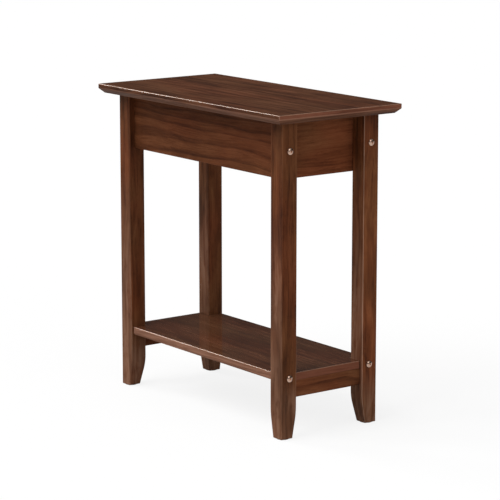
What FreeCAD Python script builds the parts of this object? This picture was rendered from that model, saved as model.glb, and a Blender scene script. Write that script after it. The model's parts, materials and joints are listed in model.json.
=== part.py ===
import FreeCAD, Part
import math
import operator
import os
from types import SimpleNamespace

import Sketcher

# Lift top end table, in millimetres. +Z is up, and the origin is on the floor under the middle of the top.
# +X is the front end, below the lid. Left is -Y and right is +Y.

SIZES = {
    # Whole table
    "top_length": 590.55,
    "top_width": 285.75,
    "table_height": 609.6,
    "top_overhang": 30,
    "cut_overrun": 5,
    "bore_clearance": 0.15,
    "bore_end_gap": 1,
    # Top halves and the moulding round their edge
    "top_thickness": 18,
    "seam_gap": 0.4,
    "seam_round": 0.6,
    "top_gap": 0.8,
    "top_edge_round": 2,
    "moulding_round": 6,
    "bevel_inset": 9.7,
    "bevel_drop": 9.5,
    "bevel_foot_round": 1.5,
    "top_corner_round": 2,
    "moulding_lead": 4,
    # Legs
    "leg_width": 35,
    "foot_width": 26.5,
    "taper_height": 46,
    "taper_bend": 150,
    "taper_lead": 30,
    "leg_edge_round": 2.6,
    "foot_ease": 0.4,
    # Glides under the legs
    "glide_diameter": 24,
    "glide_thickness": 1.2,
    "glide_edge_round": 0.6,
    "nail_diameter": 2.6,
    "nail_length": 14,
    "nail_tip": 4,
    # Storage box
    "panel_height": 105.9,
    "panel_thickness": 12,
    "panel_inset": 0.75,
    "panel_edge_round": 0.8,
    "end_panel_drop": 4,
    "floor_thickness": 5,
    "floor_rise": 8,
    "groove_depth": 5,
    "groove_clearance": 0.2,
    # Cross rail under the seam, and the cleats under the fixed half
    "cross_rail_thickness": 15,
    "cross_rail_height": 40,
    "cross_rail_setback": 1,
    "cleat_thickness": 15,
    "cleat_height": 20,
    "cleat_end_gap": 12,
    # Shelf and its rails
    "shelf_clearance": 107.95,
    "shelf_thickness": 15,
    "shelf_end_setback": 6.5,
    "shelf_side_setback": 5,
    "shelf_corner_round": 2.5,
    "shelf_edge_round": 1.6,
    "notch_clearance": 0.3,
    "shelf_rail_height": 32,
    "shelf_rail_thickness": 15,
    "shelf_rail_setback": 1,
    "shelf_rail_edge_round": 1.5,
    "shelf_rail_screw_inset": 29,
    # Leg bolts and their barrel nuts
    "bolt_diameter": 6,
    "bolt_reach": 26.5,
    "bolt_point": 1,
    "bolt_head_diameter": 13,
    "bolt_head_height": 3.4,
    "bolt_head_crown": 7.4,
    "bolt_head_rim": 1.2,
    "bolt_crown_round": 8,
    "bolt_rim_round": 0.5,
    "bolt_socket_flats": 4,
    "bolt_socket_depth": 2.2,
    "nut_diameter": 10,
    "nut_length": 9,
    "nut_depth": 20,
    "nut_slot_width": 1.4,
    "nut_slot_depth": 1.2,
    # Wooden dowels
    "dowel_diameter": 6,
    "dowel_length": 28,
    "dowel_chamfer": 0.8,
    "dowel_in_face": 7,
    "corner_dowel_inset": 19,
    "leg_dowel_step": 14,
    "rail_dowel_rise": 10,
    # Wood screws
    "screw_diameter": 4,
    "screw_head_diameter": 8,
    "screw_head_height": 2.6,
    "screw_head_round": 1.6,
    "screw_tip": 5,
    "screw_recess_width": 1.3,
    "screw_recess_length": 4.6,
    "screw_recess_depth": 1.4,
    "screw_grip": 20,
    "screw_reach": 10,
    "side_screw_reach": 7,
    "screw_head_room": 0.5,
    "cross_rail_screw_gap": 9,
    # Lid bumpers
    "bumper_diameter": 9,
    "bumper_clearance": 0.1,
    "bumper_round": 0.3,
    "bumper_inset": 28.5,
    # Concealed hinges
    "hinge_spacing": 150,
    "hinge_axis_rise": 0.3,
    "barrel_diameter": 11,
    "barrel_length": 13,
    "barrel_depth": 7.2,
    "link_inner_radius": 7,
    "link_outer_radius": 10,
    "link_width": 4.4,
    "link_clearance": 0.3,
    "link_angle": 120,
    "slot_angle": 124,
}

# Where the screws stand along a cleat
CLEAT_TOP_SCREW_SHARES = (0.15, 0.85)
CLEAT_SIDE_SCREW_SHARES = (0.35, 0.65)

HEXAGON_CORNERS = 6
FULL_TURN = 360
QUARTER_TURN = 90
CORNER_PER_FLATS = 1 / math.sqrt(3)
SMALLEST_CUT = 1e-6

doc = FreeCAD.newDocument("lift_top_end_table")
sheet = doc.addObject("Spreadsheet::Sheet", "sizes")
for row, (alias, amount) in enumerate(SIZES.items(), start=1):
    sheet.set(f"A{row}", alias)
    sheet.set(f"B{row}", str(amount))
    sheet.setAlias(f"B{row}", alias)
doc.recompute()


class Size:
    """A number together with the sheet expression that gives it."""

    def __init__(self, value, text):
        self.value = value
        self.text = text

    def __add__(self, other):
        return combine(self, "+", other)

    def __radd__(self, other):
        return combine(other, "+", self)

    def __sub__(self, other):
        return combine(self, "-", other)

    def __rsub__(self, other):
        return combine(other, "-", self)

    def __mul__(self, other):
        return combine(self, "*", other)

    def __rmul__(self, other):
        return combine(other, "*", self)

    def __truediv__(self, other):
        return combine(self, "/", other)

    def __neg__(self):
        return combine(-1, "*", self)


OPERATIONS = {"+": operator.add, "-": operator.sub, "*": operator.mul, "/": operator.truediv}


def as_size(number):
    """A plain number as a Size, and a Size as it is."""
    return number if isinstance(number, Size) else Size(number, repr(number))


def combine(left, sign, right):
    """The sum, difference, product or quotient of two sizes."""
    left, right = as_size(left), as_size(right)
    value = OPERATIONS[sign](left.value, right.value)
    return Size(value, f"({left.text} {sign} {right.text})")


size = SimpleNamespace(**{alias: Size(amount, f"sizes.{alias}") for alias, amount in SIZES.items()})


# Levels and faces that several pieces share
under_top = size.table_height - size.top_thickness
box_top = under_top - size.top_gap
box_bottom = box_top - size.panel_height
leg_outer_x = size.top_length / 2 - size.top_overhang
leg_outer_y = size.top_width / 2 - size.top_overhang
leg_inner_x = leg_outer_x - size.leg_width
leg_inner_y = leg_outer_y - size.leg_width
leg_x = leg_outer_x - size.leg_width / 2
leg_y = leg_outer_y - size.leg_width / 2
panel_y = leg_y - size.panel_inset
box_inner_x = leg_inner_x - size.panel_thickness
box_inner_y = panel_y - size.panel_thickness / 2
end_panel_x = leg_inner_x - size.panel_thickness / 2
upper_bolt_z = box_bottom + size.panel_height / 2
lower_bolt_z = size.shelf_clearance + size.shelf_thickness / 2
nut_x = leg_inner_x - size.nut_depth
cross_rail_x = -size.cross_rail_setback - size.cross_rail_thickness / 2
cross_rail_bottom = under_top - size.cross_rail_height
cross_rail_mid_z = under_top - size.cross_rail_height / 2
cleat_front_x = cross_rail_x - size.cross_rail_thickness / 2 - size.cleat_end_gap
cleat_rear_x = size.cleat_end_gap - box_inner_x
cleat_length = cleat_front_x - cleat_rear_x
cleat_y = box_inner_y - size.cleat_thickness / 2
cleat_bottom = under_top - size.cleat_height
shelf_end_x = leg_outer_x - size.shelf_end_setback
shelf_side_y = leg_outer_y - size.shelf_side_setback
shelf_rail_x = shelf_end_x - size.shelf_rail_setback - size.shelf_rail_thickness / 2
foot_x = leg_outer_x - size.foot_width / 2
foot_y = leg_outer_y - size.foot_width / 2
hinge_axis_z = size.table_height + size.hinge_axis_rise
barrel_z = size.table_height - size.barrel_depth
dowel_in_end = size.dowel_length - size.dowel_in_face
leg_dowel_inset = size.corner_dowel_inset + size.leg_dowel_step
corner_dowel_levels = [box_bottom + size.corner_dowel_inset, box_top - size.corner_dowel_inset]
leg_dowel_levels = [box_bottom + leg_dowel_inset, box_top - leg_dowel_inset]
rail_dowel_levels = [cross_rail_mid_z + rise * size.rail_dowel_rise for rise in (-1, 1)]
between_legs_y = leg_inner_y - size.notch_clearance
shelf_rail_screw_y = between_legs_y - size.shelf_rail_screw_inset
cross_rail_screw_y = box_inner_y - dowel_in_end - size.cross_rail_screw_gap
bolt_length = size.leg_width + size.bolt_reach

# Bores, each a little wider and deeper than what goes in it
bolt_bore = size.bolt_diameter + 2 * size.bore_clearance
bolt_bore_depth = size.bolt_reach + size.bore_end_gap
nut_bore = size.nut_diameter + 2 * size.bore_clearance
dowel_bore = size.dowel_diameter + 2 * size.bore_clearance
dowel_half_depth = size.dowel_length / 2 + size.bore_end_gap
screw_bore = size.screw_diameter + 2 * size.bore_clearance
screw_bore_depth = size.screw_reach + size.bore_end_gap
head_bore = size.screw_head_diameter + 2 * size.screw_head_room
nail_bore = size.nail_diameter + 2 * size.bore_clearance
nail_bore_depth = size.nail_length + size.bore_end_gap
barrel_bore = size.barrel_diameter + 2 * size.bore_clearance

# Turns that lay a piece made along +Z down along another axis
UPRIGHT = FreeCAD.Rotation()
ALONG_X = FreeCAD.Rotation(FreeCAD.Vector(0, 1, 0), QUARTER_TURN)
ALONG_MINUS_X = FreeCAD.Rotation(FreeCAD.Vector(0, 1, 0), -QUARTER_TURN)
ALONG_Y = FreeCAD.Rotation(FreeCAD.Vector(1, 0, 0), -QUARTER_TURN)

nodes = {}


def bind(item, name, amount):
    """Ties a property of an object to the sheet."""
    item.setExpression(name, as_size(amount).text)


def place(item, at, turn=UPRIGHT):
    """Puts a piece at a point of the table."""
    item.Placement = FreeCAD.Placement(FreeCAD.Vector(), turn)
    for axis, amount in zip("xyz", at):
        bind(item, f"Placement.Base.{axis}", amount)


def new_body(name, at, turn=UPRIGHT):
    """An empty body at a point of the table."""
    body = doc.addObject("PartDesign::Body", name)
    place(body, at, turn)
    return body


def sketch_on(body, plane, offset=0):
    """An empty sketch on one of a body's own planes, moved along the plane's normal."""
    support = next(item for item in body.Origin.OriginFeatures if item.Role == f"{plane}_Plane")
    sketch = body.newObject("Sketcher::SketchObject", f"{body.Name}_sketch")
    sketch.AttachmentSupport = [(support, "")]
    sketch.MapMode = "FlatFace"
    bind(sketch, "AttachmentOffset.Base.z", offset)
    return sketch


def dimension(sketch, kind, places, amount):
    """Adds a dimension whose value follows the sheet."""
    index = sketch.addConstraint(Sketcher.Constraint(kind, *places, amount.value))
    bind(sketch, f"Constraints[{index}]", amount)


def fix_point(sketch, element, end, x, y):
    """Dimensions a point from the sketch's origin."""
    dimension(sketch, "DistanceX", (-1, 1, element, end), x)
    dimension(sketch, "DistanceY", (-1, 1, element, end), y)


def rounded_corner(before, corner, after, radius):
    """The two ends and the centre of the arc that rounds a corner, and whether it turns left."""
    inward = (before - corner).normalize()
    outward = (after - corner).normalize()
    half_angle = inward.getAngle(outward) / 2
    run = radius / math.tan(half_angle)
    middle = (inward + outward).normalize()
    centre = corner + middle * (radius / math.sin(half_angle))
    turns_left = outward.cross(inward).z > 0
    return corner + inward * run, corner + outward * run, centre, turns_left


def outline(sketch, corners):
    """Draws a closed outline. A corner is (x, y), or (x, y, radius) where it is rounded."""
    corners = [[as_size(amount) for amount in corner] for corner in corners]
    points = [FreeCAD.Vector(corner[0].value, corner[1].value, 0) for corner in corners]
    count = len(points)
    arcs = {}
    for index, corner in enumerate(corners):
        if len(corner) > 2:
            neighbours = points[index - 1], points[index], points[(index + 1) % count]
            arcs[index] = rounded_corner(*neighbours, corner[2].value)
    lines = []
    for index in range(count):
        follower = (index + 1) % count
        start = arcs[index][1] if index in arcs else points[index]
        end = arcs[follower][0] if follower in arcs else points[follower]
        lines.append(sketch.addGeometry(Part.LineSegment(start, end)))
    for index, corner in enumerate(corners):
        arriving, leaving = lines[index - 1], lines[index]
        if index not in arcs:
            sketch.addConstraint(Sketcher.Constraint("Coincident", arriving, 2, leaving, 1))
            fix_point(sketch, leaving, 1, corner[0], corner[1])
            continue
        first, last, centre, turns_left = arcs[index]
        start, end = (first, last) if turns_left else (last, first)
        circle = Part.Circle(centre, FreeCAD.Vector(0, 0, 1), corner[2].value)
        arc = sketch.addGeometry(Part.ArcOfCircle(circle, circle.parameter(start), circle.parameter(end)))
        mark = sketch.addGeometry(Part.Point(points[index]), True)
        first_end, last_end = (1, 2) if turns_left else (2, 1)
        sketch.addConstraint(Sketcher.Constraint("Tangent", arriving, 2, arc, first_end))
        sketch.addConstraint(Sketcher.Constraint("Tangent", arc, last_end, leaving, 1))
        sketch.addConstraint(Sketcher.Constraint("PointOnObject", mark, 1, arriving))
        sketch.addConstraint(Sketcher.Constraint("PointOnObject", mark, 1, leaving))
        fix_point(sketch, mark, 1, corner[0], corner[1])
        dimension(sketch, "Radius", (arc,), corner[2])


def rectangle(sketch, low_x, low_y, high_x, high_y):
    """Draws a rectangle between two corners."""
    outline(sketch, [(low_x, low_y), (high_x, low_y), (high_x, high_y), (low_x, high_y)])


def circles(sketch, diameter, centres):
    """Draws circles of one diameter."""
    for x, y in centres:
        x, y = as_size(x), as_size(y)
        centre = FreeCAD.Vector(x.value, y.value, 0)
        index = sketch.addGeometry(Part.Circle(centre, FreeCAD.Vector(0, 0, 1), diameter.value / 2))
        fix_point(sketch, index, 3, x, y)
        dimension(sketch, "Diameter", (index,), diameter)


def pad(body, sketch, length):
    """Thickens a sketch evenly to both sides of its plane."""
    feature = body.newObject("PartDesign::Pad", f"{body.Name}_pad")
    feature.Profile = sketch
    feature.SideType = "Symmetric"
    bind(feature, "Length", length)
    doc.recompute()


def raise_pad(body, sketch, length):
    """Thickens a sketch along its plane's normal."""
    feature = body.newObject("PartDesign::Pad", f"{body.Name}_pad")
    feature.Profile = sketch
    bind(feature, "Length", length)
    doc.recompute()


def cut(body, sketch, depth=None, along_normal=False):
    """Cuts a sketch into a body: right through, or to a depth against or along its plane's normal."""
    whole = body.Shape.Volume
    feature = body.newObject("PartDesign::Pocket", f"{body.Name}_cut")
    feature.Profile = sketch
    if depth is None:
        feature.Type = "ThroughAll"
        feature.SideType = "Symmetric"
    else:
        feature.Reversed = along_normal
        bind(feature, "Length", depth)
    doc.recompute()
    if body.Shape.Volume > whole - SMALLEST_CUT:
        raise ValueError(f"a cut in {body.Name} removes nothing")


def bore(body, plane, offset, diameter, centres, depth=None, along_normal=False):
    """Bores round holes from one plane of a body."""
    sketch = sketch_on(body, plane, offset)
    circles(sketch, diameter, centres)
    cut(body, sketch, depth, along_normal)


def ease(body, kind, amount, chosen):
    """Rounds or chamfers the edges that the test picks."""
    base = body.Tip
    edges = enumerate(base.Shape.Edges, start=1)
    names = [f"Edge{index}" for index, edge in edges if chosen(edge.BoundBox)]
    feature = body.newObject(f"PartDesign::{kind}", f"{body.Name}_{kind.lower()}")
    feature.Base = (base, names)
    bind(feature, {"Fillet": "Radius", "Chamfer": "Size"}[kind], amount)
    doc.recompute()


def lies_level(box):
    """Whether an edge lies level."""
    return box.ZLength < SMALLEST_CUT


def lies_below(box):
    """Whether an edge lies at the bottom of its body."""
    return box.ZMax < SMALLEST_CUT


def runs_along_x_below(box):
    """Whether an edge runs along X at the bottom of its body."""
    return lies_below(box) and box.XLength > box.YLength


def runs_along_y_below(box):
    """Whether an edge runs along Y at the bottom of its body."""
    return lies_below(box) and box.YLength > box.XLength


def runs_upward(box):
    """Whether an edge runs up its body rather than across it."""
    return box.ZLength > max(box.XLength, box.YLength)


def turned(name, corners, at, turn=UPRIGHT):
    """A body turned about its own Z axis from an outline of radii and heights."""
    body = new_body(name, at, turn)
    sketch = sketch_on(body, "XZ")
    outline(sketch, corners)
    feature = body.newObject("PartDesign::Revolution", f"{body.Name}_turned")
    feature.Profile = sketch
    feature.ReferenceAxis = (sketch, ["V_Axis"])
    feature.Angle = FULL_TURN
    doc.recompute()
    return body


def mirror(name, source, normal):
    """A mirror image across a plane through the middle of the table."""
    item = doc.addObject("Part::Mirroring", name)
    item.Source = source
    item.Normal = normal
    return item


ACROSS_X = FreeCAD.Vector(1, 0, 0)
ACROSS_Y = FreeCAD.Vector(0, 1, 0)


def both_sides(source):
    """A piece and its mirror image on the left."""
    return [source, mirror(f"{source.Name}_left", source, ACROSS_Y)]


def all_corners(source):
    """A piece and its mirror images at the other three corners."""
    pair = both_sides(source)
    return pair + [mirror(f"{item.Name}_rear", item, ACROSS_X) for item in pair]


def group(node, pieces):
    """Puts identical loose pieces in one node."""
    item = doc.addObject("Part::Compound", node)
    item.Links = pieces
    nodes[node] = item


def moulded_edge(side, half, level):
    """The waste that the edge moulding takes off one long side, up from the underside."""
    over = size.cut_overrun
    lead = size.moulding_lead
    inner = half - size.bevel_inset - lead
    corners = [
        (inner, 0),
        (half - size.bevel_inset, 0, size.bevel_foot_round),
        (half, size.bevel_drop, size.moulding_round),
        (half, level, size.top_edge_round),
        (inner, level),
        (inner, level + over),
        (half + over, level + over),
        (half + over, -over),
        (inner, -over),
    ]
    return [(side * as_size(corner[0]), *corner[1:]) for corner in corners]


def top_half(node, front):
    """One half of the top: front is 1 for the lid and -1 for the fixed half."""
    body = new_body(node, (0, 0, under_top))
    end = front * size.top_length / 2
    seam = front * size.seam_gap / 2
    profile = sketch_on(body, "XZ")
    outline(profile, [
        (seam, 0),
        (end - front * size.bevel_inset, 0, size.bevel_foot_round),
        (end, size.bevel_drop, size.moulding_round),
        (end, size.top_thickness, size.top_edge_round),
        (seam, size.top_thickness, size.seam_round),
    ])
    pad(body, profile, size.top_width)
    half_width = size.top_width / 2
    for side in (-1, 1):
        waste = sketch_on(body, "YZ")
        outline(waste, moulded_edge(side, half_width, size.top_thickness))
        cut(body, waste)
    for side in (-1, 1):
        corner = sketch_on(body, "XY")
        edge = side * half_width
        beyond_x = end + front * size.cut_overrun
        beyond_y = edge + side * size.cut_overrun
        before_x = end - front * size.moulding_lead
        before_y = edge - side * size.moulding_lead
        outline(corner, [
            (before_x, edge),
            (end, edge, size.top_corner_round),
            (end, before_y),
            (beyond_x, before_y),
            (beyond_x, beyond_y),
            (before_x, beyond_y),
        ])
        cut(body, corner)
    barrel_places = [(side * size.hinge_spacing / 2, barrel_z - under_top) for side in (-1, 1)]
    barrel_reach = size.seam_gap / 2 + size.barrel_length + size.bore_clearance
    bore(body, "YZ", 0, barrel_bore, barrel_places, barrel_reach, along_normal=front > 0)
    nodes[node] = body
    return body


def cleat_x(share):
    """A place along a cleat."""
    return cleat_rear_x + cleat_length * share


top_half("lid", 1)
fixed_top = top_half("fixed_top", -1)
cleat_screw_places = [(cleat_x(share), cleat_y) for share in CLEAT_TOP_SCREW_SHARES]
rail_screw_place = (cross_rail_x, cross_rail_screw_y)
top_pilots = [(x, side * y) for x, y in [*cleat_screw_places, rail_screw_place] for side in (-1, 1)]
bore(fixed_top, "XY", 0, screw_bore, top_pilots, screw_bore_depth, along_normal=True)


def front_right_leg():
    """A leg with its two inner faces drawn in towards the foot, bored for bolts, dowels and the glide."""
    body = new_body("leg_front_right", (leg_x, leg_y, size.glide_thickness))
    half = size.leg_width / 2
    foot_inner = half - size.foot_width
    top = box_top - size.glide_thickness
    over = size.cut_overrun
    profile = sketch_on(body, "XZ")
    outline(profile, [
        (half, 0),
        (half, top),
        (-half, top),
        (-half, size.taper_height, size.taper_bend),
        (foot_inner, 0),
    ])
    pad(body, profile, size.leg_width)
    waste = sketch_on(body, "YZ")
    waste_top = size.taper_height + size.taper_lead
    outline(waste, [
        (-half, waste_top),
        (-half, size.taper_height, size.taper_bend),
        (foot_inner, 0),
        (foot_inner, -over),
        (-half - over, -over),
        (-half - over, waste_top),
    ])
    cut(body, waste)
    ease(body, "Fillet", size.leg_edge_round, runs_upward)
    ease(body, "Chamfer", size.foot_ease, lies_below)
    bolts = [(-size.panel_inset, level - size.glide_thickness) for level in (upper_bolt_z, lower_bolt_z)]
    bore(body, "YZ", 0, bolt_bore, bolts)
    dowels = [(-size.panel_inset, level - size.glide_thickness) for level in leg_dowel_levels]
    bore(body, "YZ", -half, dowel_bore, dowels, dowel_half_depth, along_normal=True)
    foot_middle = half - size.foot_width / 2
    bore(body, "XY", 0, nail_bore, [(foot_middle, foot_middle)], nail_bore_depth, along_normal=True)
    return body


leg = front_right_leg()
nodes["leg_front_right"] = leg
nodes["leg_front_left"] = mirror("leg_front_left", leg, ACROSS_Y)
for side in ("right", "left"):
    nodes[f"leg_rear_{side}"] = mirror(f"leg_rear_{side}", nodes[f"leg_front_{side}"], ACROSS_X)


def right_side_panel():
    """A long panel of the box, grooved for the floor and bored for what joins it."""
    body = new_body("side_panel_right", (0, panel_y, box_bottom))
    half = size.panel_thickness / 2
    profile = sketch_on(body, "XZ")
    rectangle(profile, -leg_inner_x, 0, leg_inner_x, size.panel_height)
    pad(body, profile, size.panel_thickness)
    ease(body, "Fillet", size.panel_edge_round, runs_along_x_below)
    groove = sketch_on(body, "YZ")
    groove_top = size.floor_rise + size.floor_thickness + size.groove_clearance
    rectangle(groove, -half - size.cut_overrun, size.floor_rise, size.groove_depth - half, groove_top)
    cut(body, groove)
    middle = size.panel_height / 2
    dowels = [(0, level - box_bottom) for level in leg_dowel_levels]
    for end in (-1, 1):
        inward = end < 0
        bore(body, "YZ", end * leg_inner_x, bolt_bore, [(0, middle)], bolt_bore_depth, inward)
        bore(body, "YZ", end * leg_inner_x, dowel_bore, dowels, dowel_half_depth, inward)
    nuts = [(end * nut_x, middle) for end in (-1, 1)]
    bore(body, "XZ", half, nut_bore, nuts, half + size.nut_length / 2)
    face_dowels = [(cross_rail_x, level - box_bottom) for level in rail_dowel_levels]
    for end in (-1, 1):
        face_dowels += [(end * end_panel_x, level - box_bottom) for level in corner_dowel_levels]
    bore(body, "XZ", half, dowel_bore, face_dowels, size.dowel_in_face + size.bore_end_gap)
    screw_level = cleat_bottom + size.cleat_height / 2 - box_bottom
    pilots = [(cleat_x(share), screw_level) for share in CLEAT_SIDE_SCREW_SHARES]
    bore(body, "XZ", half, screw_bore, pilots, size.side_screw_reach + size.bore_end_gap)
    return body


side_panel = right_side_panel()
nodes["side_panel_right"] = side_panel
nodes["side_panel_left"] = mirror("side_panel_left", side_panel, ACROSS_Y)


def front_end_panel():
    """An end panel of the box, a little deeper than the side panels that it stands between."""
    bottom = box_bottom - size.end_panel_drop
    body = new_body("end_panel_front", (end_panel_x, 0, bottom))
    half = size.panel_thickness / 2
    profile = sketch_on(body, "YZ")
    rectangle(profile, -box_inner_y, 0, box_inner_y, size.panel_height + size.end_panel_drop)
    pad(body, profile, size.panel_thickness)
    ease(body, "Fillet", size.panel_edge_round, runs_along_y_below)
    groove = sketch_on(body, "XZ")
    groove_bottom = size.floor_rise + size.end_panel_drop
    groove_top = groove_bottom + size.floor_thickness + size.groove_clearance
    rectangle(groove, -half - size.cut_overrun, groove_bottom, size.groove_depth - half, groove_top)
    cut(body, groove)
    dowels = [(0, level - bottom) for level in corner_dowel_levels]
    for end in (-1, 1):
        bore(body, "XZ", -end * box_inner_y, dowel_bore, dowels, dowel_in_end + size.bore_end_gap, end > 0)
    return body


end_panel = front_end_panel()
nodes["end_panel_front"] = end_panel
nodes["end_panel_rear"] = mirror("end_panel_rear", end_panel, ACROSS_X)


def compartment_floor():
    """The thin board in the grooves of the four panels."""
    item = doc.addObject("Part::Box", "compartment_floor")
    half_x = box_inner_x + size.groove_depth - size.groove_clearance
    half_y = box_inner_y + size.groove_depth - size.groove_clearance
    bind(item, "Length", 2 * half_x)
    bind(item, "Width", 2 * half_y)
    bind(item, "Height", size.floor_thickness)
    place(item, (-half_x, -half_y, box_bottom + size.floor_rise))
    return item


nodes["compartment_floor"] = compartment_floor()


def cross_rail():
    """The rail across the box under the seam, dowelled to the side panels and screwed to the fixed half."""
    body = new_body("cross_rail", (cross_rail_x, 0, cross_rail_bottom))
    profile = sketch_on(body, "YZ")
    rectangle(profile, -box_inner_y, 0, box_inner_y, size.cross_rail_height)
    pad(body, profile, size.cross_rail_thickness)
    dowels = [(0, level - cross_rail_bottom) for level in rail_dowel_levels]
    for end in (-1, 1):
        bore(body, "XZ", -end * box_inner_y, dowel_bore, dowels, dowel_in_end + size.bore_end_gap, end > 0)
    screws = [(0, side * cross_rail_screw_y) for side in (-1, 1)]
    bore(body, "XY", 0, screw_bore, screws)
    bore(body, "XY", 0, head_bore, screws, size.cross_rail_height - size.screw_grip, along_normal=True)
    return body


nodes["cross_rail"] = cross_rail()


def right_cleat():
    """A cleat inside the box, screwed to the side panel and up into the fixed half of the top."""
    body = new_body("top_cleat_right", (cleat_rear_x, cleat_y, cleat_bottom))
    half = size.cleat_thickness / 2
    profile = sketch_on(body, "XY")
    rectangle(profile, 0, -half, cleat_length, half)
    raise_pad(body, profile, size.cleat_height)
    bore(body, "XY", 0, screw_bore, [(cleat_length * share, 0) for share in CLEAT_TOP_SCREW_SHARES])
    sideways = [(cleat_length * share, size.cleat_height / 2) for share in CLEAT_SIDE_SCREW_SHARES]
    bore(body, "XZ", 0, screw_bore, sideways)
    return body


cleat = right_cleat()
nodes["top_cleat_right"] = cleat
nodes["top_cleat_left"] = mirror("top_cleat_left", cleat, ACROSS_Y)


def shelf():
    """The lower shelf, notched round the legs, bored for bolts, nuts and the rails' screws."""
    body = new_body("shelf", (0, 0, size.shelf_clearance))
    corner = size.shelf_corner_round
    quarter = [
        (shelf_end_x, between_legs_y, corner),
        (leg_inner_x, between_legs_y),
        (leg_inner_x, shelf_side_y, corner),
    ]
    right_half = quarter + [(-x, *rest) for x, *rest in reversed(quarter)]
    profile = sketch_on(body, "XY")
    outline(profile, right_half + [(-x, -y, *rest) for x, y, *rest in right_half])
    raise_pad(body, profile, size.shelf_thickness)
    ease(body, "Fillet", size.shelf_edge_round, lies_level)
    middle = size.shelf_thickness / 2
    for end in (-1, 1):
        bolts = [(side * panel_y, middle) for side in (-1, 1)]
        bore(body, "YZ", end * leg_inner_x, bolt_bore, bolts, bolt_bore_depth, end < 0)
    nuts = [(end * nut_x, side * panel_y) for end in (-1, 1) for side in (-1, 1)]
    bore(body, "XY", 0, nut_bore, nuts, middle + size.nut_length / 2, along_normal=True)
    pilots = [(end * shelf_rail_x, side * shelf_rail_screw_y) for end in (-1, 1) for side in (-1, 1)]
    bore(body, "XY", 0, screw_bore, pilots, screw_bore_depth, along_normal=True)
    return body


nodes["shelf"] = shelf()


def front_shelf_rail():
    """The rail under one end of the shelf, screwed up into it from deep counterbores."""
    body = new_body("shelf_rail_front", (shelf_rail_x, 0, size.shelf_clearance - size.shelf_rail_height))
    profile = sketch_on(body, "YZ")
    rectangle(profile, -between_legs_y, 0, between_legs_y, size.shelf_rail_height)
    pad(body, profile, size.shelf_rail_thickness)
    ease(body, "Fillet", size.shelf_rail_edge_round, runs_along_y_below)
    screws = [(0, side * shelf_rail_screw_y) for side in (-1, 1)]
    bore(body, "XY", 0, screw_bore, screws)
    bore(body, "XY", 0, head_bore, screws, size.shelf_rail_height - size.screw_grip, along_normal=True)
    return body


shelf_rail = front_shelf_rail()
nodes["shelf_rail_front"] = shelf_rail
nodes["shelf_rail_rear"] = mirror("shelf_rail_rear", shelf_rail, ACROSS_X)


def leg_bolt(name, level):
    """A bolt with a crowned head and a hexagon socket, its seat on the outer face of a leg."""
    head = size.bolt_head_diameter / 2
    shank = size.bolt_diameter / 2
    crown = size.bolt_head_crown / 2
    body = turned(name, [
        (0, -bolt_length),
        (shank - size.bolt_point, -bolt_length),
        (shank, size.bolt_point - bolt_length),
        (shank, 0),
        (head, 0),
        (head, size.bolt_head_rim, size.bolt_rim_round),
        (crown, size.bolt_head_height, size.bolt_crown_round),
        (0, size.bolt_head_height),
    ], (leg_outer_x, panel_y, level), ALONG_X)
    socket = sketch_on(body, "XY", size.bolt_head_height)
    reach = size.bolt_socket_flats * CORNER_PER_FLATS
    turns = [2 * math.pi * index / HEXAGON_CORNERS for index in range(HEXAGON_CORNERS)]
    outline(socket, [(reach * math.cos(turn), reach * math.sin(turn)) for turn in turns])
    cut(body, socket, size.bolt_socket_depth)
    return body


group("upper_leg_bolts", all_corners(leg_bolt("upper_bolt", upper_bolt_z)))
group("lower_leg_bolts", all_corners(leg_bolt("lower_bolt", lower_bolt_z)))


def barrel_nut(name, at, turn=UPRIGHT):
    """A cross-dowel nut along its own Z axis, slotted at its lower end, with the bolt's hole along X."""
    body = new_body(name, at, turn)
    half = size.nut_length / 2
    profile = sketch_on(body, "XY")
    circles(profile, size.nut_diameter, [(0, 0)])
    pad(body, profile, size.nut_length)
    bore(body, "YZ", 0, bolt_bore, [(0, 0)])
    slot = sketch_on(body, "YZ")
    slot_half = size.nut_slot_width / 2
    rectangle(slot, -slot_half, -half - size.cut_overrun, slot_half, size.nut_slot_depth - half)
    cut(body, slot)
    return body


group("panel_barrel_nuts", all_corners(barrel_nut("panel_nut", (nut_x, panel_y, upper_bolt_z), ALONG_Y)))
group("shelf_barrel_nuts", all_corners(barrel_nut("shelf_nut", (nut_x, panel_y, lower_bolt_z))))


def dowel(name, at, turn):
    """A wooden dowel with chamfered ends, from its start along its own Z axis."""
    radius = size.dowel_diameter / 2
    chamfer = size.dowel_chamfer
    return turned(name, [
        (0, 0),
        (radius - chamfer, 0),
        (radius, chamfer),
        (radius, size.dowel_length - chamfer),
        (radius - chamfer, size.dowel_length),
        (0, size.dowel_length),
    ], at, turn)


def dowels_at(name, start, levels, turn):
    """A dowel at each of some levels."""
    return [dowel(f"{name}_{index}", (*start, level), turn) for index, level in enumerate(levels)]


leg_dowel_start = (leg_inner_x - size.dowel_length / 2, panel_y)
leg_dowels = dowels_at("leg_dowel", leg_dowel_start, leg_dowel_levels, ALONG_X)
group("leg_dowels", [piece for item in leg_dowels for piece in all_corners(item)])
corner_dowel_start = (end_panel_x, box_inner_y - dowel_in_end)
corner_dowels = dowels_at("corner_dowel", corner_dowel_start, corner_dowel_levels, ALONG_Y)
group("corner_dowels", [piece for item in corner_dowels for piece in all_corners(item)])
rail_dowel_start = (cross_rail_x, box_inner_y - dowel_in_end)
rail_dowels = dowels_at("rail_dowel", rail_dowel_start, rail_dowel_levels, ALONG_Y)
group("cross_rail_dowels", [piece for item in rail_dowels for piece in both_sides(item)])


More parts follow.
